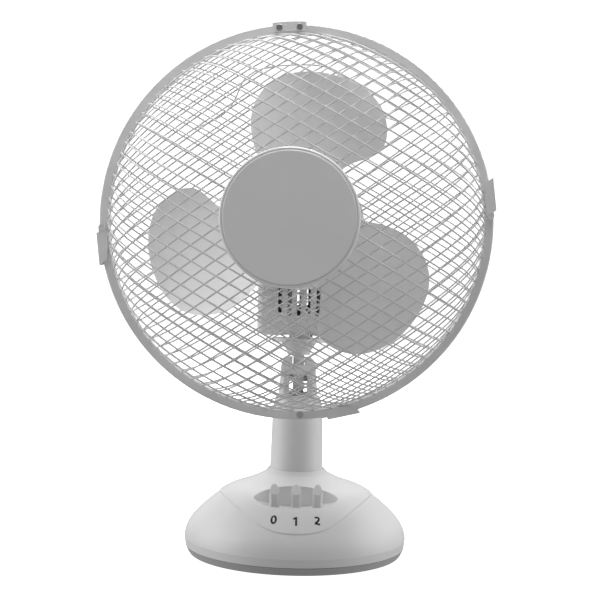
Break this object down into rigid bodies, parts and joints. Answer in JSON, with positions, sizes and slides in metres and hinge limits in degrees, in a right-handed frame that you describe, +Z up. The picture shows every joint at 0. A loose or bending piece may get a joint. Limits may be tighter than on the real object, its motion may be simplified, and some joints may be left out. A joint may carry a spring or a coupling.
{
  "type": "desk fan",
  "caption": "Tilting, oscillating desk fan with a round wire guard, petal blade, short column and a domed base with piano keys",
  "frame": {"origin": "on the surface the feet stand on, under the axis of the column", "axes": "+Z up, the fan blows towards -Y, +X to the right as seen from in front"},
  "size_m": [0.2782, 0.2128, 0.3864],
  "materials": {
    "shell_white": "satin moulded white plastic",
    "key_white": "satin moulded plastic",
    "base_grey": "fine grained moulded plastic",
    "rubber": "matt rubber",
    "badge_grey": "satin grey plastic",
    "badge_rim": "bright trim",
    "blade_grey": "translucent-looking grey plastic",
    "wire_coat": "powder-coated steel wire",
    "rim_grey": "painted steel band",
    "guard_nut": "moulded plastic",
    "steel": "bright steel",
    "lamination": "laminated steel",
    "winding": "enamelled copper winding",
    "casting": "die casting",
    "bronze": "sintered bronze",
    "dark_plastic": "dark moulded plastic",
    "gear_nylon": "nylon"
  },
  "bodies": {
    "base": {"base_shell": "shell_white", "bottom_plate": "base_grey", "rubber_feet": "rubber", "base_screws": "steel", "cable_bush": "rubber", "switch_block": "dark_plastic", "column": "shell_white", "knuckle": "shell_white", "tilt_pin": "steel"},
    "off_key": {"key_0": "key_white"},
    "low_key": {"key_1": "key_white"},
    "high_key": {"key_2": "key_white"},
    "neck": {"neck": "shell_white", "swivel_disc": "shell_white", "swivel_post": "steel", "link_pin": "steel"},
    "head": {"housing_front": "shell_white", "housing_rear": "shell_white", "housing_screws": "steel", "motor_bracket": "casting", "motor_rear_plate": "casting", "bearings": "bronze", "stator": "lamination", "stator_coils": "winding", "gear_case": "dark_plastic", "front_mesh_rising": "wire_coat", "front_mesh_falling": "wire_coat", "rear_mesh_rising": "wire_coat", "rear_mesh_falling": "wire_coat", "front_rim": "rim_grey", "rear_rim": "rim_grey", "rear_plate": "rim_grey", "guard_nut": "guard_nut", "rear_stay_wire": "wire_coat", "badge": "badge_grey", "badge_rim": "badge_rim", "badge_clamp": "steel", "top_hook": "rim_grey", "hook_rivets": "steel", "rim_screw": "steel", "clip_rivets": "steel"},
    "rotor": {"shaft": "steel", "rotor_core": "lamination", "fan_blade": "blade_grey", "blade_nut": "blade_grey"},
    "swing_knob": {"osc_knob": "shell_white"},
    "crank_shaft": {"crank": "steel"},
    "crank_link": {"link": "steel"},
    "worm_wheel": {"worm_gear": "gear_nylon"},
    "right_clip": {"clip_right": "rim_grey"},
    "left_clip": {"clip_left": "rim_grey"},
    "bottom_clip": {"clip_bottom": "rim_grey"}
  },
  "joints": [
    {"name": "off_key_press", "type": "slide", "parent": "base", "child": "off_key", "axis": [0, 0, -1], "range_m": [0, 0.005], "stiffness_N_per_m": 250, "springref_m": -0.004},
    {"name": "low_key_press", "type": "slide", "parent": "base", "child": "low_key", "axis": [0, 0, -1], "range_m": [0, 0.005], "stiffness_N_per_m": 250, "springref_m": -0.004},
    {"name": "high_key_press", "type": "slide", "parent": "base", "child": "high_key", "axis": [0, 0, -1], "range_m": [0, 0.005], "stiffness_N_per_m": 250, "springref_m": -0.004},
    {"name": "head_tilt", "type": "hinge", "parent": "base", "child": "neck", "pos_m": [0, 0, 0.1315], "axis": [-1, 0, 0], "range_deg": [-13, 17]},
    {"name": "head_swing", "type": "hinge", "parent": "neck", "child": "head", "pos_m": [0, 0.00175, 0.16495], "axis": [0, 0.0523, 0.9986], "range_deg": [-36, 44]},
    {"name": "fan_spin", "type": "hinge", "parent": "head", "child": "rotor", "pos_m": [-0.00419, -0.05389, 0.24678], "axis": [-0.0698, -0.9962, 0.0522], "continuous": true},
    {"name": "swing_knob_pull", "type": "slide", "parent": "head", "child": "swing_knob", "axis": [0, 0.0523, 0.9986], "range_m": [0, 0.006]},
    {"name": "crank_turn", "type": "hinge", "parent": "head", "child": "crank_shaft", "pos_m": [0.01496, 0.05139, 0.17437], "axis": [0, 0.0523, 0.9986], "range_deg": [-99, 81]},
    {"name": "link_turn", "type": "hinge", "parent": "crank_shaft", "child": "crank_link", "pos_m": [0.02038, 0.05572, 0.17014], "axis": [0, 0.0523, 0.9986], "range_deg": [-81, 99]},
    {"name": "worm_wheel_spin", "type": "hinge", "parent": "head", "child": "worm_wheel", "pos_m": [0.01496, 0.05489, 0.24108], "axis": [0, 0.0523, 0.9986], "continuous": true},
    {"name": "right_clip_turn", "type": "hinge", "parent": "head", "child": "right_clip", "pos_m": [0.12983, -0.07292, 0.25439], "axis": [0.0698, 0.9962, -0.0522], "range_deg": [0, 50]},
    {"name": "left_clip_turn", "type": "hinge", "parent": "head", "child": "left_clip", "pos_m": [-0.13959, -0.0548, 0.24021], "axis": [0.0698, 0.9962, -0.0522], "range_deg": [0, 50]},
    {"name": "bottom_clip_turn", "type": "hinge", "parent": "head", "child": "bottom_clip", "pos_m": [0.01691, -0.07236, 0.11414], "axis": [0.0698, 0.9962, -0.0522], "range_deg": [0, 50]}
  ],
  "couplings": [
    {"joint": "crank_turn", "follows": "head_swing", "ratio": -2.25},
    {"joint": "link_turn", "follows": "head_swing", "ratio": 2.25},
    {"joint": "worm_wheel_spin", "follows": "fan_spin", "ratio": 0.066667}
  ]
}
